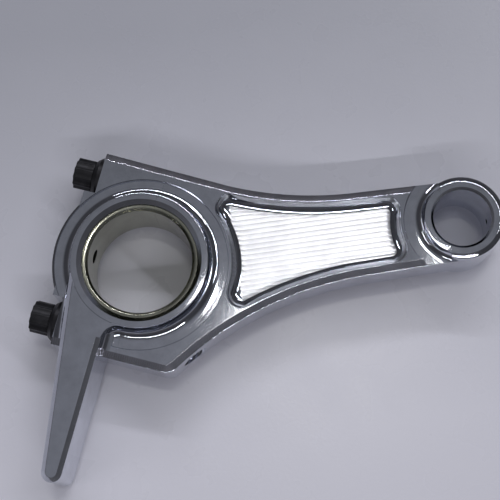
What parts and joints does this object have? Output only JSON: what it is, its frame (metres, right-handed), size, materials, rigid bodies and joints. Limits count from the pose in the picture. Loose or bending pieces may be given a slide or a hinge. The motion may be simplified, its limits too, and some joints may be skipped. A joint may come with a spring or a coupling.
{
  "type": "connecting rod",
  "caption": "Split connecting rod machined from aluminium, with bearing shells, screwed-on cap and a blade-shaped oil dipper, for a small single-cylinder engine.",
  "frame": {"origin": "centre of the crank bore, midway between the crank end's two side faces", "axes": "+X along the rod to the centre of the wrist pin bore, +Z along the crank bore"},
  "size_m": [0.1688, 0.1144, 0.028],
  "materials": {
    "billet_aluminium": "fine machined, satin",
    "bearing_lining": "dull grey bearing alloy",
    "black_oxide_steel": "black oxide",
    "sleeve_steel": "ground"
  },
  "bodies": {
    "root": {"rod_body": "billet_aluminium", "rod_cap": "billet_aluminium", "rod_bearing_shell": "bearing_lining", "cap_bearing_shell": "bearing_lining", "upper_cap_screw": "black_oxide_steel", "lower_cap_screw": "black_oxide_steel", "upper_locating_sleeve": "sleeve_steel", "lower_locating_sleeve": "sleeve_steel"}
  },
  "joints": []
}
